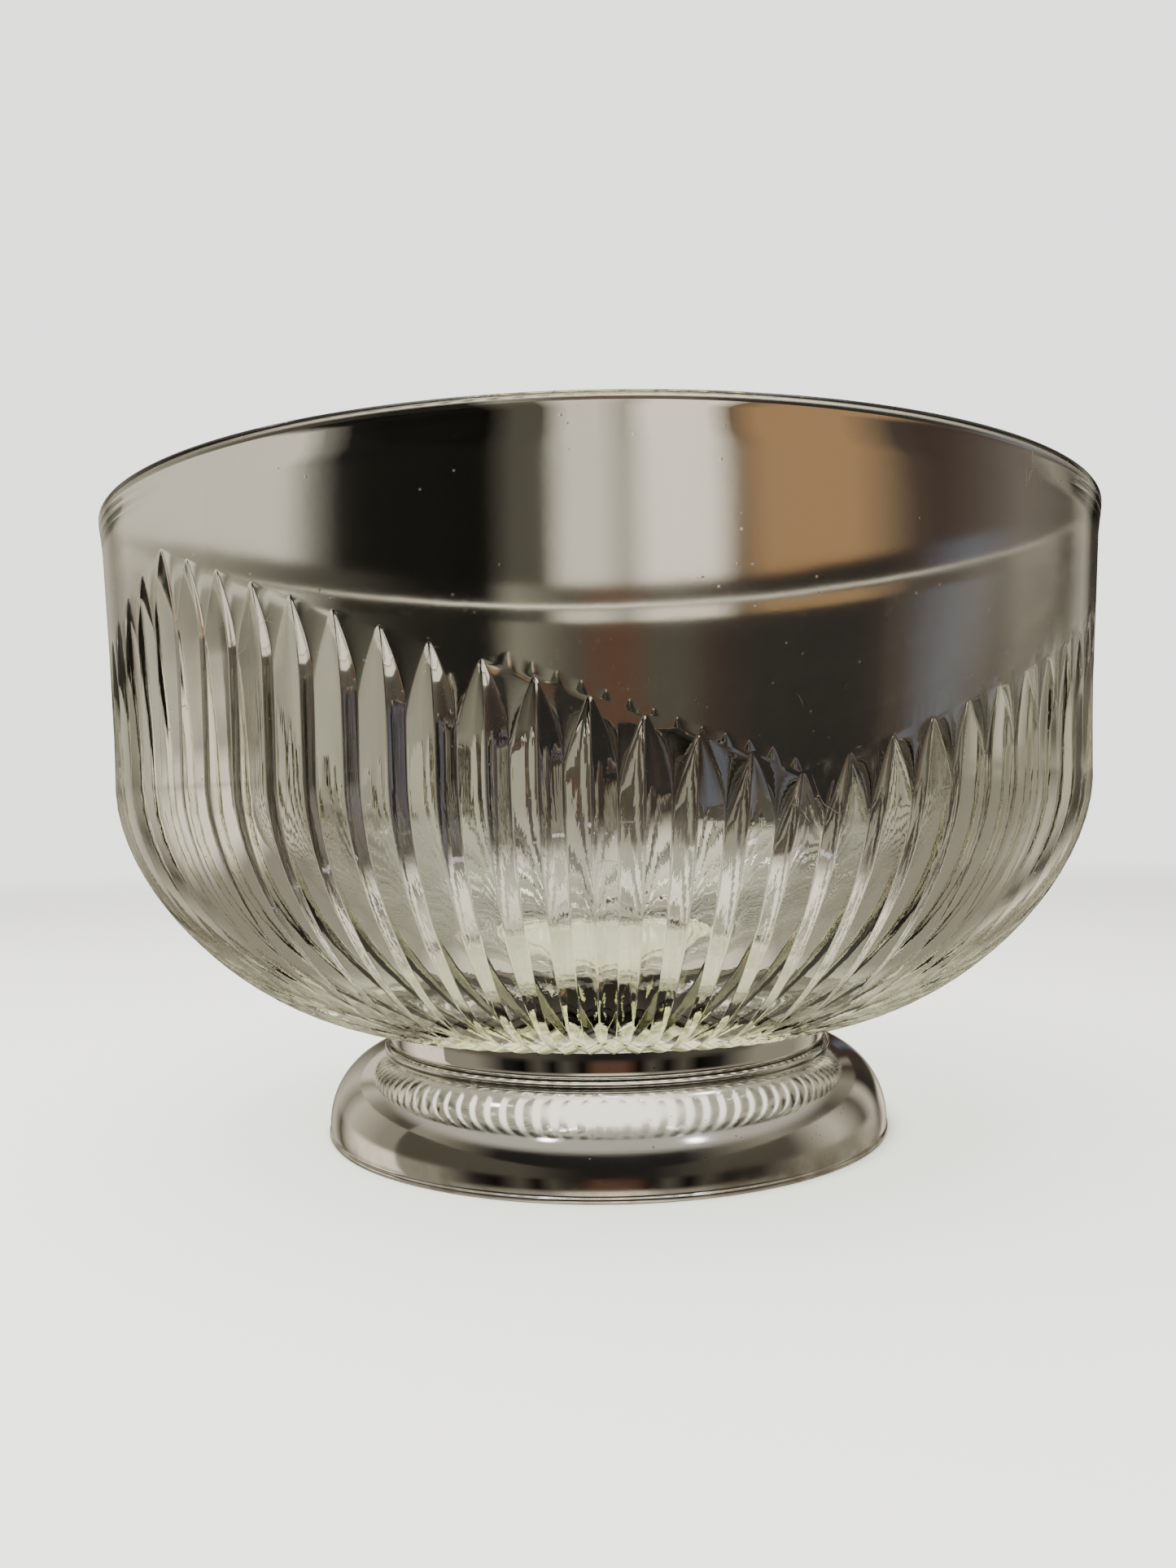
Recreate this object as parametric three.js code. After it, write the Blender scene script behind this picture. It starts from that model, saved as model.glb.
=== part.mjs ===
// A footed punch bowl: a pressed-glass bowl with pointed vertical flutes, bedded in the collar
// of a hollow silver-plated foot. Millimetres, +Z up. The origin is the centre of the foot's
// underside, on the table. Angles run from -Y (the front) towards +X.

import * as THREE from "three";

// ---- Driving dimensions ----

// Glass bowl
const BOWL_HEIGHT = 145; // top of the lip above the table
const LIP_RADIUS = 120; // widest radius of the bowl, at the lip
const LIP_THICKNESS = 2.8;
const WALL_THICKNESS = 4.6; // at the shoulder, between the upright wall and the rounded base
const SHOULDER_RADIUS = 117;
const SHOULDER_HEIGHT = 84;
const UNDERSIDE_HEIGHT = 27.2; // where the rounded base meets the collar
const UNDERSIDE_DIP = 0.8;
const FLOOR_HEIGHT = 34.5; // inside floor of the bowl
const FLOOR_RADIUS = 48; // the floor is flat this far out
// The base's outline is a curve with two handles: one level, at the bottom, which ends at this
// radius, and one nearly upright, at the shoulder, which ends at this height.
const BASE_HANDLE_RADIUS = 84;
const INNER_BASE_HANDLE_RADIUS = 81.5;
const SHOULDER_HANDLE_HEIGHT = 59;
const SHOULDER_HANDLE_SLANT = 0.9;
const WALL_HANDLE_HEIGHT = 113; // the upper wall bends gently round this height
const STUB_RADIUS = 51.5; // moulded ring under the bowl, which stands inside the collar
const STUB_WIDTH = 5;
const STUB_HEIGHT = 22; // its lower edge
const STUB_RECESS_HEIGHT = 26.4;

// Flutes pressed into the outside of the glass
const FLUTE_COUNT = 84;
const FLUTES_PER_WAVE = 28; // the pointed tops rise and fall in a zigzag
const FLUTE_DEPTH = 1.8; // where the bowl is widest
const LOW_TIP_HEIGHT = 84.2;
const HIGH_TIP_HEIGHT = 128.6;
const LOW_TIP_ANGLE = THREE.MathUtils.degToRad(16.3);
const TIP_LENGTH = 10; // a flute reaches its full depth this far below its tip
const FLUTE_END_RADIUS = 56; // just outside the collar, where the flutes run out
const FLUTE_END_LENGTH = 6;

// Silver-plated foot and collar
const SHEET = 1.2; // thickness of the spun foot
const FOOT_TOP_HEIGHT = 19.8;
const DOME_CENTRE_RADIUS = 52.4; // centre of the quarter-round section of the foot
const DOME_CENTRE_HEIGHT = 2.6;
const FOOT_BEAD_RADIUS = 0.6; // fine half-round bead along the foot's lower edge
const FOOT_RADIUS = 69.9; // over the bead
const HEM_WIDTH = 4.6; // edge of the sheet, turned in flat under the foot
const COLLAR_RADIUS = 54.9;
const COLLAR_THICKNESS = 1;
const COLLAR_TOP_HEIGHT = 26.8;
const WIRE_RADIUS = 0.5; // round wire that covers the joint between collar and foot

const GAP = 0.3; // left between pieces that touch

// Smoothness
const BOWL_SEGMENTS = 2 * FLUTE_COUNT; // one column on each flute's floor, one on each ridge
const METAL_SEGMENTS = 60;

// ---- Outlines ----

const point = (radius, height) => new THREE.Vector2(radius, height);

/** Points along a circle's arc, from one angle to another, in degrees above horizontal. */
function arc(radius, height, size, from, to, steps) {
  return Array.from({ length: steps + 1 }, (_, i) => {
    const angle = THREE.MathUtils.degToRad(from + ((to - from) * i) / steps);
    return point(radius + size * Math.cos(angle), height + size * Math.sin(angle));
  });
}

/** Turns a closed outline, which runs up its outer side, about the Z axis. */
function turned(outline, segments, startAngle = 0) {
  const geometry = new THREE.LatheGeometry(outline, segments, startAngle);
  return geometry.rotateX(Math.PI / 2);
}

function piece(name, geometry, material) {
  const mesh = new THREE.Mesh(geometry, new THREE.MeshStandardMaterial(material));
  mesh.name = name;
  return mesh;
}

// ---- Glass bowl ----

/** Height of the pointed top of one flute. */
function tipHeight(flute) {
  const step = flute % FLUTES_PER_WAVE;
  const halfWave = FLUTES_PER_WAVE / 2;
  const rise = Math.min(step, FLUTES_PER_WAVE - step) / halfWave;
  return LOW_TIP_HEIGHT + rise * (HIGH_TIP_HEIGHT - LOW_TIP_HEIGHT);
}

/** Depth of one flute at a point of the bowl's outside. */
function fluteDepth(flute, radius, height) {
  const belowTip = THREE.MathUtils.clamp((tipHeight(flute) - height) / TIP_LENGTH, 0, 1);
  const aboveEnd = THREE.MathUtils.clamp((radius - FLUTE_END_RADIUS) / FLUTE_END_LENGTH, 0, 1);
  const swell = 1 - (1 - belowTip) ** 2;
  return FLUTE_DEPTH * swell * aboveEnd * (radius / SHOULDER_RADIUS);
}

/** The stretch of the outside that carries the flutes, from under the bowl up to the wall. */
function flutedOutline() {
  const base = new THREE.CubicBezierCurve(
    point(COLLAR_RADIUS - 2, UNDERSIDE_HEIGHT),
    point(BASE_HANDLE_RADIUS, UNDERSIDE_HEIGHT - UNDERSIDE_DIP),
    point(SHOULDER_RADIUS - SHOULDER_HANDLE_SLANT, SHOULDER_HANDLE_HEIGHT),
    point(SHOULDER_RADIUS, SHOULDER_HEIGHT),
  );
  const wall = new THREE.QuadraticBezierCurve(
    point(SHOULDER_RADIUS, SHOULDER_HEIGHT),
    point(SHOULDER_RADIUS + 0.3, WALL_HANDLE_HEIGHT),
    point(LIP_RADIUS - 0.1, BOWL_HEIGHT - LIP_THICKNESS),
  );
  return [...base.getPoints(7), ...wall.getPoints(5).slice(1)];
}

/** The moulded ring and the recess inside it, from the axis out to the collar. */
function stubOutline() {
  const inner = STUB_RADIUS - STUB_WIDTH;
  return [
    point(0, STUB_RECESS_HEIGHT),
    point(inner, STUB_RECESS_HEIGHT),
    point(inner, STUB_HEIGHT),
    point(STUB_RADIUS, STUB_HEIGHT),
    point(STUB_RADIUS, UNDERSIDE_HEIGHT - 0.6),
  ];
}

/** The rounded lip and the smooth inside, down to the axis. */
function insideOutline() {
  const lipSize = LIP_THICKNESS / 2;
  const lipHeight = BOWL_HEIGHT - lipSize;
  const shoulder = SHOULDER_RADIUS - WALL_THICKNESS;
  const wall = new THREE.QuadraticBezierCurve(
    point(LIP_RADIUS - LIP_THICKNESS, lipHeight),
    point(shoulder + 0.8, WALL_HANDLE_HEIGHT),
    point(shoulder, SHOULDER_HEIGHT),
  );
  const base = new THREE.CubicBezierCurve(
    point(shoulder, SHOULDER_HEIGHT),
    point(shoulder - SHOULDER_HANDLE_SLANT, SHOULDER_HANDLE_HEIGHT),
    point(INNER_BASE_HANDLE_RADIUS, FLOOR_HEIGHT),
    point(FLOOR_RADIUS, FLOOR_HEIGHT),
  );
  return [
    ...arc(LIP_RADIUS - lipSize, lipHeight, lipSize, 0, 180, 4),
    ...wall.getPoints(2).slice(1),
    ...base.getPoints(5).slice(1),
    point(0, FLOOR_HEIGHT),
  ];
}

/** Presses the flutes in: every second column of the fluted rows moves into the glass. */
function pressFlutes(geometry, outline, firstRow, lastRow) {
  const position = geometry.attributes.position;
  for (let column = 0; column <= BOWL_SEGMENTS; column += 2) {
    const flute = (column / 2) % FLUTE_COUNT;
    const angle = LOW_TIP_ANGLE + ((column % BOWL_SEGMENTS) * Math.PI) / FLUTE_COUNT;
    for (let row = firstRow; row <= lastRow; row++) {
      const along = outline[row + 1].clone().sub(outline[row - 1]).normalize();
      const { x: radius, y: height } = outline[row];
      const depth = fluteDepth(flute, radius, height);
      const newRadius = radius - depth * along.y;
      position.setXYZ(
        column * outline.length + row,
        newRadius * Math.sin(angle),
        -newRadius * Math.cos(angle),
        height + depth * along.x,
      );
    }
  }
  geometry.computeVertexNormals();
}

function glassBowl() {
  const stub = stubOutline();
  const fluted = flutedOutline();
  const outline = [...stub, ...fluted, ...insideOutline()];
  const geometry = turned(outline, BOWL_SEGMENTS, LOW_TIP_ANGLE);
  pressFlutes(geometry, outline, stub.length, stub.length + fluted.length - 1);
  return piece("glass_bowl", geometry, { color: "#dfe6da", roughness: 0.05, metalness: 0 });
}

// ---- Foot and collar ----

/** The hollow foot: flat top, quarter-round side, beaded edge, and a hem that rests flat. */
function footShell() {
  const domeSize = FOOT_TOP_HEIGHT - DOME_CENTRE_HEIGHT;
  const beadCentre = FOOT_RADIUS - FOOT_BEAD_RADIUS;
  const hemEdge = beadCentre - HEM_WIDTH;
  const insideFoot = DOME_CENTRE_RADIUS + domeSize - SHEET;
  const outline = [
    point(0, FOOT_TOP_HEIGHT - SHEET),
    ...arc(DOME_CENTRE_RADIUS, DOME_CENTRE_HEIGHT, domeSize - SHEET, 90, 0, 5),
    point(insideFoot - 1.2, SHEET),
    point(hemEdge, SHEET),
    point(hemEdge, 0),
    ...arc(beadCentre, FOOT_BEAD_RADIUS, FOOT_BEAD_RADIUS, -90, 60, 4),
    ...arc(DOME_CENTRE_RADIUS, DOME_CENTRE_HEIGHT, domeSize, 5, 90, 6),
    point(0, FOOT_TOP_HEIGHT),
  ];
  return piece("foot_shell", turned(outline, METAL_SEGMENTS), {
    color: "#c9c6bd",
    roughness: 0.12,
    metalness: 1,
  });
}

/** The upright band that the glass stands in, soldered to the foot's flat top. */
function collarBand() {
  const bottom = FOOT_TOP_HEIGHT + GAP;
  const inner = COLLAR_RADIUS - COLLAR_THICKNESS;
  const outline = [
    point(inner, bottom),
    point(COLLAR_RADIUS, bottom),
    point(COLLAR_RADIUS, COLLAR_TOP_HEIGHT),
    point(inner, COLLAR_TOP_HEIGHT),
    point(inner, bottom),
  ];
  return piece("collar_band", turned(outline, METAL_SEGMENTS), {
    color: "#cfccc4",
    roughness: 0.1,
    metalness: 1,
  });
}

/** The round wire in the corner between the collar and the foot. */
function collarWire() {
  const radius = COLLAR_RADIUS + WIRE_RADIUS + GAP + 0.1;
  const height = FOOT_TOP_HEIGHT + WIRE_RADIUS + 0.1;
  const outline = arc(radius, height, WIRE_RADIUS, 0, 360, 6);
  outline[outline.length - 1] = outline[0].clone();
  return piece("collar_wire", turned(outline, METAL_SEGMENTS), {
    color: "#d4d1c8",
    roughness: 0.14,
    metalness: 1,
  });
}

/** The bed of plaster that fills the collar, with a groove for the glass bowl's moulded ring. */
function plasterBed() {
  const grooveInner = STUB_RADIUS - STUB_WIDTH - GAP;
  const grooveOuter = STUB_RADIUS + GAP;
  const outer = COLLAR_RADIUS - COLLAR_THICKNESS - GAP;
  const bottom = FOOT_TOP_HEIGHT + GAP;
  const outline = [
    point(0, bottom),
    point(outer, bottom),
    point(outer, COLLAR_TOP_HEIGHT - 1),
    point(grooveOuter, COLLAR_TOP_HEIGHT - 1),
    point(grooveOuter, STUB_HEIGHT - GAP),
    point(grooveInner, STUB_HEIGHT - GAP),
    point(grooveInner, STUB_RECESS_HEIGHT - GAP),
    point(0, STUB_RECESS_HEIGHT - GAP),
  ];
  return piece("plaster_bed", turned(outline, METAL_SEGMENTS), {
    color: "#e2dcc8",
    roughness: 0.9,
    metalness: 0,
  });
}

// ---- Assembly ----

const punchBowl = new THREE.Group();
punchBowl.name = "punch_bowl";
punchBowl.add(footShell(), collarBand(), collarWire(), plasterBed(), glassBowl());

export default punchBowl;
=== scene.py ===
import math

import bpy
import numpy as np
from mathutils import Matrix, Vector
from mathutils.geometry import interpolate_bezier


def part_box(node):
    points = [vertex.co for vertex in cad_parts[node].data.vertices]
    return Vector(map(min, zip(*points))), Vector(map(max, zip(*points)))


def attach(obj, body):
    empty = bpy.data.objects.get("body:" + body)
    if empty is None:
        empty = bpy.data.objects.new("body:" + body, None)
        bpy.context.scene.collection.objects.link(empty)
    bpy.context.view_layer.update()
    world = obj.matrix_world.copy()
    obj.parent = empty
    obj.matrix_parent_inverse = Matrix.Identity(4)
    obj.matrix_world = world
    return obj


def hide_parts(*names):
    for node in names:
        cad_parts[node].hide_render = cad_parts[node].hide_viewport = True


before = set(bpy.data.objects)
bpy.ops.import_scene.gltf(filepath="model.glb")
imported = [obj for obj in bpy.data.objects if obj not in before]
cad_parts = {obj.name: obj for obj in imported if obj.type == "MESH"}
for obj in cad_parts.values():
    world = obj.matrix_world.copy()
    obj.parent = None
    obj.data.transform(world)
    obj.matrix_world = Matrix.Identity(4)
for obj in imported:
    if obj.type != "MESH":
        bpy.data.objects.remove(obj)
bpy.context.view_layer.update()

# --------------------------------------------------------------------------------------------
# Hollow foot
# A disc of brass spun to a flat-topped, quarter-round dome, its edge beaded and turned in as a
# hem, then silver-plated and polished. It carries fine wiping scratches and a little tarnish.
# --------------------------------------------------------------------------------------------
MM = 0.001

foot_low, foot_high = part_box("foot_shell")
foot_radius = foot_high.x
foot_top = foot_high.z
sheet = 1.0 * MM
dome_radius = 52.4 * MM
dome_height = 2.6 * MM
dome_size = foot_top - dome_height
bead = 0.6 * MM
hem_width = 4.6 * MM
metal_columns = 288


def arc(radius, height, size, start, stop, steps):
    """Points of a circle's arc in (radius, height), angles in degrees above the horizontal."""
    angle = np.radians(np.linspace(start, stop, steps))
    return np.stack([radius + size * np.cos(angle), height + size * np.sin(angle)], axis=1)


def closed_mesh(name, rows, low_pole, high_pole):
    """A mesh from a grid of rows round the axis, closed by a point on the axis at each end."""
    count, columns = rows.shape[:2]
    radius, height, angle = rows[..., 0], rows[..., 1], rows[..., 2]
    points = np.stack([radius * np.sin(angle), -radius * np.cos(angle), height], axis=-1)
    points = np.vstack([points.reshape(-1, 3), [(0, 0, low_pole), (0, 0, high_pole)]])
    i = np.arange(count * columns).reshape(count, columns)
    right = np.roll(i, -1, axis=1)
    quads = np.stack([i[:-1], right[:-1], right[1:], i[1:]], axis=-1).reshape(-1, 4)
    low, high = count * columns, count * columns + 1
    caps = [(low, b, a) for a, b in zip(i[0], right[0])]
    caps += [(high, a, b) for a, b in zip(i[-1], right[-1])]
    mesh = bpy.data.meshes.new(name)
    mesh.from_pydata(points.tolist(), [], quads.tolist() + [[int(v) for v in c] for c in caps])
    mesh.shade_smooth()
    made = bpy.data.objects.new(name, mesh)
    bpy.context.scene.collection.objects.link(made)
    return made


def shader(tree, kind, **values):
    """A shader node with some of its settings and inputs filled in; a socket value is linked."""
    made = tree.nodes.new(kind)
    for key, value in values.items():
        label = key.replace("_", " ")
        if label.title() in made.inputs:
            target = made.inputs[label.title()]
        elif label in made.inputs:
            target = made.inputs[label]
        else:
            setattr(made, key, value)
            continue
        if isinstance(value, bpy.types.NodeSocket):
            tree.links.new(value, target)
        else:
            target.default_value = value
    return made


def sum_of(tree, operation, a, b):
    """A maths node of two inputs, each a number or a socket."""
    made = tree.nodes.new("ShaderNodeMath")
    made.operation = operation
    for socket, value in zip(made.inputs, (a, b)):
        if isinstance(value, bpy.types.NodeSocket):
            tree.links.new(value, socket)
        else:
            socket.default_value = value
    return made.outputs[0]


def stepped(tree, value, low, high, to_low=0.0, to_high=1.0):
    """Maps a value's range smoothly onto another."""
    made = tree.nodes.new("ShaderNodeMapRange")
    made.interpolation_type = "SMOOTHSTEP"
    tree.links.new(value, made.inputs["Value"])
    for label, number in zip(("From Min", "From Max", "To Min", "To Max"), (low, high, to_low, to_high)):
        made.inputs[label].default_value = number
    return made.outputs["Result"]


def new_material(name):
    made = bpy.data.materials.new(name)
    made.use_nodes = True
    made.node_tree.nodes.clear()
    return made, made.node_tree


def turned(name, outline, columns=metal_columns):
    """A body of revolution from a closed outline, or from one that starts and ends on the axis."""
    outline = np.asarray(outline)
    angle = np.linspace(0, 2 * math.pi, columns, endpoint=False)
    rows = np.empty((len(outline), columns, 3))
    rows[:, :, :2] = outline[:, None, :]
    rows[:, :, 2] = angle
    if outline[0][0] < 1e-9:
        return closed_mesh(name, rows[1:-1], outline[0][1], outline[-1][1])
    points = np.stack(
        [rows[..., 0] * np.sin(angle), -rows[..., 0] * np.cos(angle), rows[..., 1]], axis=-1
    )
    i = np.arange(len(outline) * columns).reshape(len(outline), columns)
    up, right = np.roll(i, -1, axis=0), np.roll(i, -1, axis=1)
    quads = np.stack([i, right, np.roll(right, -1, axis=0), up], axis=-1).reshape(-1, 4)
    mesh = bpy.data.meshes.new(name)
    mesh.from_pydata(points.reshape(-1, 3).tolist(), [], quads.tolist())
    mesh.shade_smooth()
    made = bpy.data.objects.new(name, mesh)
    bpy.context.scene.collection.objects.link(made)
    return made


def silver_plate(name, tarnish_height, polish=0.07):
    """Polished silver plate: wiping scratches, faint smudges, pits, and tarnish near the edge."""
    material, tree = new_material(name)
    place = shader(tree, "ShaderNodeTexCoord").outputs["Object"]
    smudge = shader(tree, "ShaderNodeTexNoise", Vector=place, Scale=45.0, Detail=4.0,
                    Roughness=0.6).outputs["Fac"]
    # Wiping scratches run round the piece: noise drawn out along the turn.
    split = shader(tree, "ShaderNodeSeparateXYZ", Vector=place)
    x, y, z = (split.outputs[axis] for axis in "XYZ")
    out_from_axis = sum_of(tree, "SQRT", sum_of(tree, "ADD", sum_of(tree, "MULTIPLY", x, x),
                                                sum_of(tree, "MULTIPLY", y, y)), 0.0)
    turn = sum_of(tree, "ARCTAN2", y, x)
    wiped = shader(tree, "ShaderNodeCombineXYZ", Y=sum_of(tree, "MULTIPLY", turn, 0.004),
                   X=out_from_axis, Z=z)
    scratch = shader(tree, "ShaderNodeTexNoise", Vector=wiped.outputs[0], Scale=2600.0,
                     Detail=2.0).outputs["Fac"]
    pit_cell = shader(tree, "ShaderNodeTexVoronoi", Vector=place, Scale=420.0)
    pit = sum_of(tree, "MULTIPLY", stepped(tree, pit_cell.outputs["Distance"], 0.04, 0.14, 1, 0),
                 stepped(tree, smudge, 0.5, 0.62))
    low = stepped(tree, z, 0.0, tarnish_height, 1, 0)
    tarnish = sum_of(tree, "MULTIPLY", low, stepped(tree, smudge, 0.42, 0.66))
    tarnish = sum_of(tree, "MAXIMUM", tarnish, sum_of(tree, "MULTIPLY", pit, 0.7))
    colour = shader(tree, "ShaderNodeValToRGB", Fac=tarnish)
    colour.color_ramp.elements[0].color = (0.86, 0.845, 0.81, 1)
    colour.color_ramp.elements[1].color = (0.45, 0.39, 0.31, 1)
    rough = sum_of(tree, "ADD", stepped(tree, smudge, 0.35, 0.75, polish, 2 * polish),
                   sum_of(tree, "MULTIPLY", tarnish, 0.22))
    height = sum_of(tree, "SUBTRACT", sum_of(tree, "MULTIPLY", scratch, 0.25), pit)
    bump = shader(tree, "ShaderNodeBump", Strength=0.5, Distance=0.00003, Height=height)
    metal = shader(tree, "ShaderNodeBsdfPrincipled", Base_Color=colour.outputs["Color"],
                   Metallic=1.0, Roughness=rough, Normal=bump.outputs["Normal"])
    out = tree.nodes.new("ShaderNodeOutputMaterial")
    tree.links.new(metal.outputs[0], out.inputs["Surface"])
    return material


bead_centre = foot_radius - bead
hem_edge = bead_centre - hem_width
foot = turned("spun_foot", np.vstack([
    [(0, foot_top - sheet), (20 * MM, foot_top - sheet), (40 * MM, foot_top - sheet)],
    arc(dome_radius, dome_height, dome_size - sheet, 90, 4, 24),
    [(bead_centre - 0.9 * MM, 1.6 * MM), (bead_centre - 1.8 * MM, sheet)],
    [(hem_edge + 0.3 * MM, sheet), (hem_edge, sheet - 0.3 * MM)],
    [(hem_edge, foot_low.z + 0.3 * MM), (hem_edge + 0.3 * MM, foot_low.z)],
    arc(bead_centre, bead, bead, -90, 60, 12),
    [(bead_centre + 0.2 * MM, 1.32 * MM), (bead_centre + 0.26 * MM, 1.6 * MM)],
    arc(dome_radius, dome_height, dome_size, 0, 90, 56),
    [(48 * MM, foot_top), (30 * MM, foot_top), (0, foot_top)],
]))
foot.data.materials.append(silver_plate("foot_silver_plate", 9 * MM))
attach(foot, "root")
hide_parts("foot_shell")

# --------------------------------------------------------------------------------------------
# Collar band
# A strip of brass sheet rolled to a ring, soldered upright on the foot's flat top, plated and
# polished. The moulded ring under the glass stands inside it.
# --------------------------------------------------------------------------------------------
collar_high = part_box("collar_band")[1]
collar_outer = collar_high.x
collar_inner = collar_outer - 1 * MM
edge = 0.2 * MM
collar = turned("collar_band_ring", np.vstack([
    [(collar_inner, foot_top + 0.02 * MM), (collar_outer, foot_top + 0.02 * MM)],
    [(collar_outer, foot_top + 3 * MM)],
    arc(collar_outer - edge, collar_high.z - edge, edge, 0, 90, 4),
    arc(collar_inner + edge, collar_high.z - edge, edge, 90, 180, 4),
]))
collar.data.materials.append(silver_plate("collar_silver_plate", 1 * MM, 0.025))
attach(collar, "root")
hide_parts("collar_band")

# --------------------------------------------------------------------------------------------
# Collar wire
# A round wire of plated brass, soldered into the corner between the band and the foot. It hides
# the joint and shows as a thin bright line.
# --------------------------------------------------------------------------------------------
wire_low, wire_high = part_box("collar_wire")
wire_size = (wire_high.z - wire_low.z) / 2
wire_radius = wire_high.x - wire_size
wire = turned("collar_wire_ring", arc(wire_radius, foot_top + 0.8 * wire_size, wire_size, 0, 345, 24))
wire.data.materials.append(silver_plate("wire_silver_plate", 1 * MM, 0.09))
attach(wire, "root")
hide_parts("collar_wire")

# --------------------------------------------------------------------------------------------
# Plaster bed
# Cream plaster, poured into the collar. The glass's moulded ring was pressed into it while wet,
# so it grips the ring on both sides, fills the recess and shows as a pale line at the collar.
# --------------------------------------------------------------------------------------------
bed_low, bed_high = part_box("plaster_bed")
bed_outer = bed_high.x

bowl_low, bowl_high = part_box("glass_bowl")
underside_height = 27.2 * MM   # of the glass, where it meets the collar
ring_outer = 51.5 * MM         # the moulded ring under the glass
ring_inner = 46.5 * MM
ring_edge = 0.9 * MM           # rounding of its foot
recess_height = 26.4 * MM      # the flat inside the ring
recess_corner = 0.8 * MM

bond = 0.03 * MM               # how far the plaster keys into the glass that it grips
grip_outer = ring_outer - bond
grip_inner = ring_inner + bond
groove_round = bowl_low.z + ring_edge + bond
plug_round = recess_height - recess_corner + bond


def cast_plaster():
    """Matt, slightly grainy plaster with darker damp-looking patches."""
    material, tree = new_material("cast_plaster")
    place = shader(tree, "ShaderNodeTexCoord").outputs["Object"]
    patch = shader(tree, "ShaderNodeTexNoise", Vector=place, Scale=120.0, Detail=4.0).outputs["Fac"]
    grain = shader(tree, "ShaderNodeTexNoise", Vector=place, Scale=2200.0, Detail=2.0).outputs["Fac"]
    colour = shader(tree, "ShaderNodeValToRGB", Fac=patch)
    colour.color_ramp.elements[0].color = (0.46, 0.43, 0.31, 1)
    colour.color_ramp.elements[1].color = (0.66, 0.62, 0.48, 1)
    bump = shader(tree, "ShaderNodeBump", Strength=0.6, Distance=0.0001, Height=grain)
    body = shader(tree, "ShaderNodeBsdfPrincipled", Base_Color=colour.outputs["Color"],
                  Roughness=stepped(tree, patch, 0.3, 0.7, 0.75, 0.95), Normal=bump.outputs["Normal"])
    out = tree.nodes.new("ShaderNodeOutputMaterial")
    tree.links.new(body.outputs[0], out.inputs["Surface"])
    return material


plaster = turned("plaster_bed_cast", np.vstack([
    [(0, bed_low.z), (bed_outer, bed_low.z), (bed_outer, underside_height - 0.6 * MM)],
    [(bed_outer - 0.2 * MM, underside_height - 0.15 * MM), (53 * MM, underside_height + bond)],
    [(52 * MM, underside_height - 0.3 * MM + bond), (grip_outer, 26 * MM)],
    arc(grip_outer - ring_edge, groove_round, ring_edge, 0, -90, 4),
    arc(grip_inner + ring_edge, groove_round, ring_edge, 270, 180, 4),
    arc(grip_inner - recess_corner, plug_round, recess_corner, 5, 85, 3),
    [(0, recess_height + bond)],
]), 144)
plaster.data.materials.append(cast_plaster())
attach(plaster, "root")
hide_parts("plaster_bed")

# --------------------------------------------------------------------------------------------
# Glass bowl
# One piece of clear glass, pressed between a smooth plunger and a mould cut with V grooves.
# The grooves leave sharp ridges between them and end in pointed arches, whose tips rise and
# fall in three even zigzag waves. The lip is rolled slightly outward and fire-polished.
# --------------------------------------------------------------------------------------------
lip_radius = bowl_high.x
lip_top = bowl_high.z
shoulder_radius = lip_radius - 3.0 * MM
shoulder_height = 84 * MM
floor_height = 34.5 * MM
wall_thickness = 4.6 * MM
lip_edge = 1.0 * MM            # radius of the lip's outer edge
lip_width = 2.9 * MM
lip_fall = 2.2 * MM            # how far the melted-back inner edge runs down

flute_count = 84
flutes_per_wave = 28
flute_depth = 1.8 * MM         # where the bowl is widest
low_tip_height = 84.2 * MM
high_tip_height = 128.6 * MM
low_tip_angle = math.radians(16.3)   # from the front, -Y, towards +X
tip_arch_length = 15 * MM
end_arch_length = 5 * MM
flute_end_radius = 55.6 * MM
fluted_share = 0.93            # of a groove's width; the rest is the rounded ridge
groove_floor_round = 0.035     # rounding of a groove's floor and of its edges, as shares of
groove_edge_round = 0.05       # half its width

haze_starts, haze_full = 85 * MM, 115 * MM     # the inside is a little duller up the wall


def curve(a, b, c, d, steps):
    """Points of a Bezier curve in (radius, height)."""
    corners = [Vector((p[0], p[1], 0)) for p in (a, b, c, d)]
    return np.array([p.xy for p in interpolate_bezier(*corners, steps)])


def smooth(share):
    share = np.clip(share, 0, 1)
    return share * share * (3 - 2 * share)


def fluted_outline():
    """The outside from the collar up to the rolled lip: a rounded base and a nearly upright wall."""
    base = curve(
        (53 * MM, underside_height),
        (84 * MM, underside_height - 0.8 * MM),
        (shoulder_radius - 0.9 * MM, 59 * MM),
        (shoulder_radius, shoulder_height),
        160,
    )
    wall = curve(
        (shoulder_radius, shoulder_height),
        (shoulder_radius + 0.2 * MM, shoulder_height + 20 * MM),
        (lip_radius - 1.7 * MM, shoulder_height + 36 * MM),
        (lip_radius - 0.8 * MM, lip_top - 8 * MM),
        80,
    )
    return np.vstack([base, wall[1:]])


def even_shares(count):
    """One even share of a run for each row, without the run's far end."""
    return np.linspace(0, 1, count, endpoint=False)[:, None]


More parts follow.
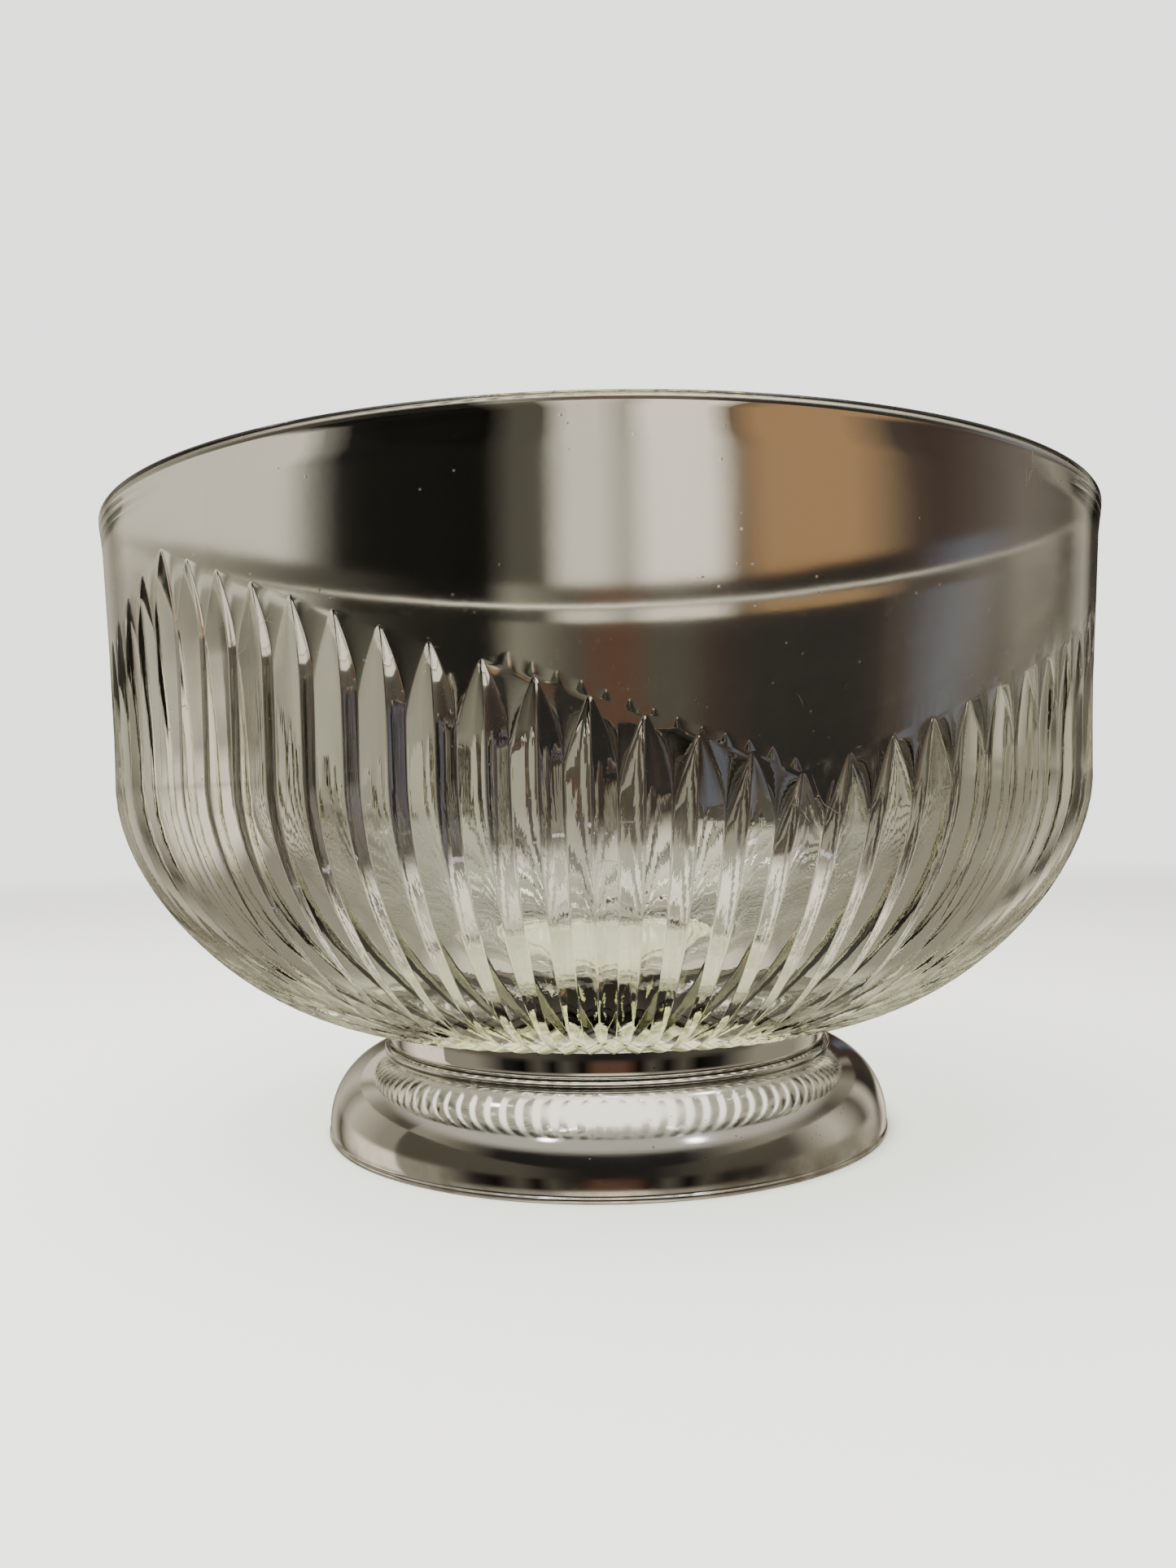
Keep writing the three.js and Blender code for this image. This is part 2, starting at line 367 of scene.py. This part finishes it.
def glass_grid():
    """Rows of (radius, height, angle) from the axis underneath, round the lip, to the axis inside."""
    line = fluted_outline()
    run = np.concatenate([[0], np.cumsum(np.linalg.norm(np.diff(line, axis=0), axis=1))])
    slope = np.gradient(line, run, axis=0)
    upper = line[:, 1] > 1.4 * underside_height
    flute_end = np.interp(flute_end_radius, line[:, 0], run)

    flute = np.arange(flute_count)
    place_in_wave = flute % flutes_per_wave
    rise = np.minimum(place_in_wave, flutes_per_wave - place_in_wave) / (flutes_per_wave / 2)
    tip_height = low_tip_height + rise * (high_tip_height - low_tip_height)
    tip = np.interp(tip_height, line[upper, 1], run[upper])

    # Columns across one groove: its left ridge, then across the groove to just before the next.
    across = np.array([-1, -0.97, -fluted_share, -0.5, -0.06, 0, 0.06, 0.5, fluted_share, 0.97])
    pitch = 2 * math.pi / flute_count
    share = np.tile(across, flute_count)
    owner = np.repeat(flute, len(across))
    tip_here = tip[owner]
    on_ridge = share == -1
    tip_here[on_ridge] = (tip + np.roll(tip, 1)) / 2
    centre = low_tip_angle + owner * pitch

    # Rows, as runs along the outline: under the grooves, their lower ends, shafts, tips, band.
    crowding = 1.6                 # rows crowd together towards the pointed ends
    shaft_low, shaft_high = flute_end + end_arch_length, tip_here - tip_arch_length
    band_share = np.linspace(0, 1, 9)[:, None]
    along = np.vstack([
        even_shares(2) * flute_end + 0 * tip_here,
        flute_end + even_shares(6) ** crowding * end_arch_length + 0 * tip_here,
        shaft_low + even_shares(24) * (shaft_high - shaft_low),
        shaft_high + (1 - (1 - even_shares(13)) ** crowding) * tip_arch_length,
        tip_here + band_share * (run[-1] - tip_here),
    ])

    def groove(along, offset):
        """How open and how deep each groove is; offset runs from -1 to 1 across it."""
        from_tip = np.clip((tip_here - along) / tip_arch_length, 0, 1)
        from_end = np.clip((along - flute_end) / end_arch_length, 0, 1)
        opened = np.minimum(1 - (1 - from_tip) ** 1.6, 1 - (1 - from_end) ** 2)
        offset = (offset + 1) % 2 - 1
        from_centre = np.sqrt(offset**2 + groove_floor_round**2) - groove_floor_round
        cut = opened - from_centre
        cut = (cut + np.sqrt(cut**2 + groove_edge_round**2)) / 2 * smooth(opened / 0.12)
        return opened, flute_depth * cut * np.interp(along, run, line[:, 0]) / shoulder_radius

    # Columns close in on a groove as it narrows to its tip, and open out again over 8 mm past it.
    opened, _ = groove(along, share)
    past = np.maximum(along - tip_here, flute_end - along)
    width = np.maximum(np.clip(opened, 0.03, fluted_share), fluted_share * smooth(past / (8 * MM)))
    offset = share / fluted_share * width
    past_edge = np.abs(share) > fluted_share
    just_outside = width + np.minimum(0.08, (1 - width) / 2)
    offset[:, past_edge] = (np.sign(share) * just_outside)[:, past_edge]
    offset[:, on_ridge] = -1
    angle = centre + offset * pitch / 2
    opened, depth = groove(along, offset)

    radius = np.interp(along, run, line[:, 0])
    height = np.interp(along, run, line[:, 1])
    out_r, out_z = np.interp(along, run, slope[:, 1]), -np.interp(along, run, slope[:, 0])
    outside = np.stack([radius - depth * out_r, height - depth * out_z, angle], axis=-1)

    # The surface leans by how fast the depth changes, upwards and sideways.
    nudge = 0.04 * MM
    nudge_aside = nudge / (radius * pitch / 2)
    above, below = groove(along + nudge, offset)[1], groove(along - nudge, offset)[1]
    right, left = groove(along, offset + nudge_aside)[1], groove(along, offset - nudge_aside)[1]
    rising = (above - below) / (2 * nudge)
    aside = (right - left) / (2 * nudge)
    outside_lean = np.stack([out_r - rising * out_z, out_z + rising * out_r, aside], axis=-1)

    plain_angle = centre + share * pitch / 2

    def plain(points):
        rows = np.empty((len(points), len(share), 3))
        rows[:, :, :2] = np.asarray(points)[:, None, :]
        rows[:, :, 2] = plain_angle
        return rows

    ring = np.vstack([
        [(r * MM, recess_height) for r in (4, 22, 40)],
        arc(ring_inner - recess_corner, recess_height - recess_corner, recess_corner, 85, 5, 3),
        arc(ring_inner + ring_edge, bowl_low.z + ring_edge, ring_edge, 190, 270, 3),
        arc(ring_outer - ring_edge, bowl_low.z + ring_edge, ring_edge, 270, 360, 3),
        [(ring_outer, 24 * MM), (ring_outer, 26 * MM)],
        [(ring_outer + 0.5 * MM, underside_height - 0.3 * MM)],
    ])
    melt = np.linspace(0, math.pi / 2, 9)[1:]
    lip = np.vstack([
        [(lip_radius - 0.62 * MM, lip_top - 6.4 * MM), (lip_radius - 0.4 * MM, lip_top - 4.6 * MM)],
        [(lip_radius - 0.16 * MM, lip_top - 3 * MM), (lip_radius - 0.02 * MM, lip_top - 1.8 * MM)],
        arc(lip_radius - lip_edge, lip_top - lip_edge, lip_edge, 0, 90, 5),
        np.stack([
            lip_radius - lip_edge - (lip_width - lip_edge) * np.sin(melt),
            lip_top - lip_fall + lip_fall * np.cos(melt),
        ], axis=1),
    ])
    shoulder_inside = shoulder_radius - wall_thickness
    inside = np.vstack([
        curve(
            (lip_radius - lip_width, lip_top - lip_fall),
            (lip_radius - lip_width - 0.5 * MM, lip_top - 20 * MM),
            (shoulder_inside + 0.4 * MM, shoulder_height + 20 * MM),
            (shoulder_inside, shoulder_height),
            9,
        )[1:],
        curve(
            (shoulder_inside, shoulder_height),
            (shoulder_inside - 0.9 * MM, 59 * MM),
            (81.5 * MM, floor_height),
            (48 * MM, floor_height),
            16,
        )[1:],
        [(r * MM, floor_height) for r in (30, 12, 4)],
    ])
    rows = np.concatenate([plain(ring), outside, plain(lip), plain(inside)])
    first, last = len(ring), len(ring) + len(outside)
    lean = np.stack(
        [np.gradient(rows[..., 1], axis=0), -np.gradient(rows[..., 0], axis=0), 0 * rows[..., 0]],
        axis=-1,
    )
    lean[first:last] = outside_lean
    pressed = np.zeros(rows.shape[:2])
    pressed[first:last] = smooth(depth / (0.3 * MM))
    inside_wall = np.zeros(rows.shape[:2])
    inside_wall[-len(inside):] = 1
    return rows, lean, pressed, inside_wall


def clear_glass():
    """Clear glass, faintly green where thick, with hairlines, dust and a pressed ripple."""
    material, tree = new_material("clear_pressed_glass")
    place = shader(tree, "ShaderNodeTexCoord").outputs["Object"]
    # Hairline scratches: thin cell borders, kept only here and there.
    bend = shader(tree, "ShaderNodeTexNoise", Vector=place, Scale=38.0, Detail=2.0).outputs["Color"]
    bent = shader(tree, "ShaderNodeVectorMath", operation="MULTIPLY_ADD")
    tree.links.new(bend, bent.inputs[0])
    bent.inputs[1].default_value = (0.03, 0.03, 0.03)
    tree.links.new(place, bent.inputs[2])
    border = shader(tree, "ShaderNodeTexVoronoi", feature="DISTANCE_TO_EDGE",
                    Vector=bent.outputs[0], Scale=22.0).outputs["Distance"]
    kept = shader(tree, "ShaderNodeTexNoise", Vector=place, Scale=60.0, Detail=1.0).outputs["Fac"]
    hairline = sum_of(tree, "MULTIPLY", stepped(tree, border, 0.0, 0.0016, 1, 0),
                      stepped(tree, kept, 0.66, 0.7))
    # Specks of dust.
    cell = shader(tree, "ShaderNodeTexVoronoi", Vector=place, Scale=260.0)
    speck = sum_of(tree, "MULTIPLY", stepped(tree, cell.outputs["Distance"], 0.03, 0.09, 1, 0),
                   stepped(tree, kept, 0.45, 0.6))
    marks = sum_of(tree, "MAXIMUM", hairline, speck)
    smear = shader(tree, "ShaderNodeTexNoise", Vector=place, Scale=25.0, Detail=3.0).outputs["Fac"]
    # The plunger leaves the inside less bright than the fire-polished outside.
    worn = shader(tree, "ShaderNodeAttribute", attribute_name="inside_wall").outputs["Fac"]
    split = shader(tree, "ShaderNodeSeparateXYZ", Vector=place)
    x, y, level = (split.outputs[axis] for axis in "XYZ")
    worn = sum_of(tree, "MULTIPLY", worn, stepped(tree, level, haze_starts, haze_full, 0.15, 1.0))
    rough = sum_of(tree, "MULTIPLY", worn, stepped(tree, smear, 0.3, 0.7, 0.075, 0.105))
    rough = sum_of(tree, "ADD", rough, sum_of(tree, "MULTIPLY", marks, 0.3))
    tint = shader(tree, "ShaderNodeValToRGB", Fac=smear)
    tint.color_ramp.elements[0].color = (0.985, 0.99, 0.98, 1)
    tint.color_ramp.elements[1].color = (0.97, 0.975, 0.955, 1)
    # The pressed surface is never quite flat: a slow ripple and a finer one.
    slow = shader(tree, "ShaderNodeTexNoise", Vector=place, Scale=50.0, Detail=1.0).outputs["Fac"]
    fine = shader(tree, "ShaderNodeTexNoise", Vector=place, Scale=420.0, Detail=1.0).outputs["Fac"]
    ripple = sum_of(tree, "ADD", slow, sum_of(tree, "MULTIPLY", fine, 0.03))
    ripple = sum_of(tree, "SUBTRACT", ripple, sum_of(tree, "MULTIPLY", marks, 0.15))
    # The mould's own polishing lines run up and down inside the grooves.
    upright = shader(tree, "ShaderNodeCombineXYZ", X=x, Y=y,
                     Z=sum_of(tree, "MULTIPLY", level, 0.02))
    line = shader(tree, "ShaderNodeTexNoise", Vector=upright.outputs[0], Scale=1100.0,
                  Detail=2.0).outputs["Fac"]
    pressed_here = shader(tree, "ShaderNodeAttribute", attribute_name="pressed").outputs["Fac"]
    line = sum_of(tree, "MULTIPLY", sum_of(tree, "MULTIPLY", line, pressed_here), 0.2)
    ripple = sum_of(tree, "ADD", ripple, line)
    bump = shader(tree, "ShaderNodeBump", Strength=1.0, Distance=0.00006, Height=ripple)
    glass = shader(tree, "ShaderNodeBsdfPrincipled", Base_Color=tint.outputs["Color"],
                   Roughness=rough, IOR=1.52, Normal=bump.outputs["Normal"])
    glass.inputs["Transmission Weight"].default_value = 1.0
    # Lamps shine through it, so that its shadow is pale.
    path = shader(tree, "ShaderNodeLightPath")
    lit_through = sum_of(tree, "MAXIMUM", path.outputs["Is Shadow Ray"], path.outputs["Is Diffuse Ray"])
    open_glass = shader(tree, "ShaderNodeBsdfTransparent", Color=(0.86, 0.88, 0.85, 1))
    mix = tree.nodes.new("ShaderNodeMixShader")
    tree.links.new(lit_through, mix.inputs[0])
    tree.links.new(glass.outputs[0], mix.inputs[1])
    tree.links.new(open_glass.outputs[0], mix.inputs[2])
    depth_tint = shader(tree, "ShaderNodeVolumeAbsorption", Color=(0.84, 0.88, 0.56, 1), Density=15.0)
    out = tree.nodes.new("ShaderNodeOutputMaterial")
    tree.links.new(mix.outputs[0], out.inputs["Surface"])
    tree.links.new(depth_tint.outputs[0], out.inputs["Volume"])
    return material


glass_rows, lean, pressed, inside_wall = glass_grid()
bowl = closed_mesh("glass_bowl_fluted", glass_rows, recess_height, floor_height)
turn_sin, turn_cos = np.sin(glass_rows[..., 2]), np.cos(glass_rows[..., 2])
facing = np.stack([
    lean[..., 0] * turn_sin + lean[..., 2] * turn_cos,
    -lean[..., 0] * turn_cos + lean[..., 2] * turn_sin,
    lean[..., 1],
], axis=-1)
facing /= np.linalg.norm(facing, axis=-1, keepdims=True)
facing = np.vstack([facing.reshape(-1, 3), [(0, 0, -1), (0, 0, 1)]])
bowl.data.normals_split_custom_set_from_vertices(facing.tolist())
for label, values in (("pressed", pressed), ("inside_wall", inside_wall)):
    mask = bowl.data.attributes.new(label, "FLOAT", "POINT")
    mask.data.foreach_set("value", np.append(values.ravel(), [0, values[-1, 0]]))
bowl.data.materials.append(clear_glass())
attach(bowl, "root")
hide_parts("glass_bowl")

# --------------------------------------------------------------------------------------------
# Studio
# A plain pale floor that fades into a pale surround. The glass and the plate have something to
# show because soft light and dark panels stand round the set, out of the camera's sight.
# --------------------------------------------------------------------------------------------
PALE = (2.2, 2.2, 2.15, 1)


def pale_floor():
    """Matt pale paper near the bowl, fading to the surround's own tone further off."""
    material, tree = new_material("pale_floor")
    place = shader(tree, "ShaderNodeTexCoord").outputs["Object"]
    away = shader(tree, "ShaderNodeVectorMath", operation="LENGTH")
    tree.links.new(place, away.inputs[0])
    paper = shader(tree, "ShaderNodeBsdfDiffuse", Color=(0.83, 0.83, 0.82, 1))
    glow = shader(tree, "ShaderNodeEmission", Color=PALE, Strength=1.0)
    mix = tree.nodes.new("ShaderNodeMixShader")
    tree.links.new(stepped(tree, away.outputs["Value"], 0.5, 1.5), mix.inputs[0])
    tree.links.new(paper.outputs[0], mix.inputs[1])
    tree.links.new(glow.outputs[0], mix.inputs[2])
    out = tree.nodes.new("ShaderNodeOutputMaterial")
    tree.links.new(mix.outputs[0], out.inputs["Surface"])
    return material


bpy.ops.mesh.primitive_circle_add(vertices=96, radius=1.7, fill_type="NGON")
floor = bpy.context.object
floor.name = "pale_floor"
floor.location.z = -0.1 * MM   # just under the foot, so that the two faces never coincide
floor.data.materials.append(pale_floor())
floor.visible_glossy = floor.visible_transmission = False

# What stands round the set, in belts one above the other. Each belt is a list of bearings, in
# degrees to the right of straight ahead, and the tone there.
BLACK, SOOT, UMBER = (0.004, 0.004, 0.003), (0.02, 0.019, 0.017), (0.055, 0.034, 0.028)
OLIVE, DUSK, RUST = (0.05, 0.044, 0.03), (0.09, 0.08, 0.06), (0.12, 0.062, 0.04)
SLATE, GREY, MIST = (0.13, 0.14, 0.17), (0.29, 0.265, 0.2), (0.64, 0.59, 0.46)
BLUSH, TAN, WHITE = (1.2, 1.06, 0.86), (0.4, 0.235, 0.11), (1.8, 1.68, 1.38)
CREAM = (0.84, 0.77, 0.62)
high_belt = [
    (-170, SOOT), (-135, SOOT), (-100, GREY), (-80, DUSK), (-60, GREY), (-48, MIST), (-40, GREY),
    (-34, CREAM), (-15.4, CREAM), (-13.6, SOOT), (-12.4, BLACK),
    (-5.2, BLACK), (-4.2, DUSK), (-2.8, DUSK), (-2, CREAM), (0, CREAM), (0.8, GREY), (2, MIST),
    (2.8, BLUSH), (5.6, BLUSH), (6.6, DUSK), (8.0, TAN), (13.4, TAN), (14.6, DUSK), (15.8, UMBER),
    (24, UMBER), (27, GREY), (32, UMBER), (45, GREY), (70, DUSK), (110, GREY), (150, SOOT),
]
low_belt = [
    (-170, SOOT), (-145, DUSK), (-120, DUSK), (-80, GREY), (-55, MIST), (-45, GREY), (-34, MIST),
    (-20, GREY), (-15, DUSK), (-9, BLACK), (-5.6, BLACK), (-4.6, GREY), (-1.4, DUSK), (0, RUST),
    (1.6, RUST), (2.4, DUSK), (4.4, DUSK), (5.6, UMBER), (8.4, SOOT), (13.6, SOOT), (15.6, UMBER),
    (18, SLATE), (21, UMBER), (30, OLIVE), (40, SOOT), (48, MIST), (58, DUSK), (80, MIST),
    (105, DUSK), (140, DUSK), (165, SOOT),
]
under_belt = [
    (-175, RUST), (-168, BLACK), (-160, DUSK), (-153, BLACK), (-146, DUSK), (-138, BLACK),
    (-128, SOOT), (-110, GREY), (-90, GREY), (-66, BLUSH), (-45, DUSK), (-32, MIST), (-18, GREY),
    (-8, BLUSH), (2, WHITE), (10, BLUSH), (20, GREY), (30, BLUSH), (40, SOOT), (50, MIST),
    (70, GREY), (100, GREY), (122, SOOT), (134, BLACK), (142, DUSK), (150, BLACK), (158, DUSK),
    (164, BLACK), (172, RUST),
]
# Small lamps, as bearing, height above the horizon and half-width, in degrees.
spots = [(-150, 48, 3.5), (140, 40, 3.0), (172, 62, 3.0), (25, 55, 2.5), (-60, 50, 3.0)]
SPOT_TONE = (12, 12, 12.5)
# Between and beyond the belts, by the upward part of the direction looked in: from, to.
FAR_RIM = (0.154, 0.164)       # the low belt gives way to the high one behind the far rim
HORIZON = (-0.11, -0.01)
WALL_TOP = (0.44, 0.6)
CEILING = (0.82, 0.93)
GROUND = (-0.5, -0.3)
WALL_TOP_TONE, CEILING_TONE = (0.55, 0.52, 0.44), (2.5, 2.4, 2.15)
GROUND_AHEAD, GROUND_ASIDE = (1.0, 0.93, 0.72), (0.3, 0.27, 0.21)


def belt(tree, bearing, tones):
    """The tones of one belt, blended between their bearings."""
    ramp = shader(tree, "ShaderNodeValToRGB", Fac=bearing)
    stops = sorted(((0.75 - degrees / 360) % 1, tone) for degrees, tone in tones)
    while len(ramp.color_ramp.elements) < len(stops):
        ramp.color_ramp.elements.new(0.5)
    for stop, (position, tone) in zip(ramp.color_ramp.elements, stops):
        stop.position = position
        stop.color = (*tone, 1)
    return ramp.outputs["Color"]


def blended(tree, share, a, b):
    """Colour a where share is 0 and colour b where it is 1; b is a colour or a socket."""
    mix = tree.nodes.new("ShaderNodeMix")
    mix.data_type = "RGBA"
    tree.links.new(share, mix.inputs["Factor"])
    tree.links.new(a, mix.inputs["A"])
    if isinstance(b, bpy.types.NodeSocket):
        tree.links.new(b, mix.inputs["B"])
    else:
        mix.inputs["B"].default_value = (*b, 1)
    return mix.outputs["Result"]


def studio_world():
    world = bpy.data.worlds.new("studio")
    world.use_nodes = True
    tree = world.node_tree
    tree.nodes.clear()
    way = shader(tree, "ShaderNodeTexCoord").outputs["Generated"]
    bearing = shader(tree, "ShaderNodeTexGradient", gradient_type="RADIAL", Vector=way).outputs["Fac"]
    split = shader(tree, "ShaderNodeSeparateXYZ", Vector=way)
    height = split.outputs["Z"]
    aside = sum_of(tree, "MULTIPLY", split.outputs["X"], split.outputs["X"])
    edge = sum_of(tree, "SUBTRACT", height, sum_of(tree, "MULTIPLY", aside, 0.25))
    tone = blended(tree, stepped(tree, edge, *FAR_RIM), belt(tree, bearing, low_belt),
                   belt(tree, bearing, high_belt))
    tone = blended(tree, stepped(tree, height, *HORIZON, 1, 0), tone,
                   belt(tree, bearing, under_belt))
    tone = blended(tree, stepped(tree, height, *WALL_TOP), tone, WALL_TOP_TONE)
    tone = blended(tree, stepped(tree, height, *CEILING), tone, CEILING_TONE)
    ground = shader(tree, "ShaderNodeRGB").outputs[0]
    ground.default_value = (*GROUND_AHEAD, 1)
    ground = blended(tree, stepped(tree, aside, 0.015, 0.12), ground, GROUND_ASIDE)
    tone = blended(tree, stepped(tree, height, *GROUND, 1, 0), tone, ground)
    for degrees, lift, size in spots:
        a, e = math.radians(degrees), math.radians(lift)
        towards = (math.sin(a) * math.cos(e), math.cos(a) * math.cos(e), math.sin(e))
        facing = shader(tree, "ShaderNodeVectorMath", operation="DOT_PRODUCT")
        tree.links.new(way, facing.inputs[0])
        facing.inputs[1].default_value = towards
        inner, outer = math.cos(math.radians(size * 0.6)), math.cos(math.radians(size))
        tone = blended(tree, stepped(tree, facing.outputs["Value"], outer, inner), tone, SPOT_TONE)
    hidden = shader(tree, "ShaderNodeBackground", Color=tone, Strength=1.0)
    seen = shader(tree, "ShaderNodeBackground", Color=PALE, Strength=1.0)
    path = shader(tree, "ShaderNodeLightPath")
    mix = tree.nodes.new("ShaderNodeMixShader")
    tree.links.new(path.outputs["Is Camera Ray"], mix.inputs[0])
    tree.links.new(hidden.outputs[0], mix.inputs[1])
    tree.links.new(seen.outputs[0], mix.inputs[2])
    out = tree.nodes.new("ShaderNodeOutputWorld")
    tree.links.new(mix.outputs[0], out.inputs["Surface"])
    return world


bpy.context.scene.world = studio_world()


def softbox(name, place, target, width, height, power):
    lamp = bpy.data.lights.new(name, "AREA")
    lamp.shape = "RECTANGLE"
    lamp.size, lamp.size_y = width, height
    lamp.energy = power
    made = bpy.data.objects.new(name, lamp)
    made.location = place
    made.rotation_euler = (Vector(target) - Vector(place)).to_track_quat("-Z", "Y").to_euler()
    made.visible_camera = made.visible_glossy = made.visible_transmission = False
    bpy.context.scene.collection.objects.link(made)


middle = (0, 0, lip_top / 2)
softbox("overhead_softbox", (-0.2, -0.2, 1.1), middle, 1.1, 1.1, 42)

# Camera: almost level, a little above the middle of the bowl and close to it.
distance = 2.54 * lip_radius
eye = Vector((0, -distance, 0.541 * lip_top))
pitch_up, turn_right, roll = 0.021, -0.012, -0.017
forward = Vector((math.sin(turn_right) * math.cos(pitch_up),
                  math.cos(turn_right) * math.cos(pitch_up), math.sin(pitch_up)))
level = Vector((math.cos(turn_right), -math.sin(turn_right), 0))
upright = level.cross(forward)
right = math.cos(roll) * level + math.sin(roll) * upright
up = -math.sin(roll) * level + math.cos(roll) * upright
camera_data = bpy.data.cameras.new("camera")
camera_data.lens = 27.03
camera_data.clip_start, camera_data.clip_end = 0.01, 10
camera = bpy.data.objects.new("camera", camera_data)
camera.matrix_world = Matrix.Translation(eye) @ Matrix((right, up, -forward)).transposed().to_4x4()
bpy.context.scene.collection.objects.link(camera)
bpy.context.scene.camera = camera
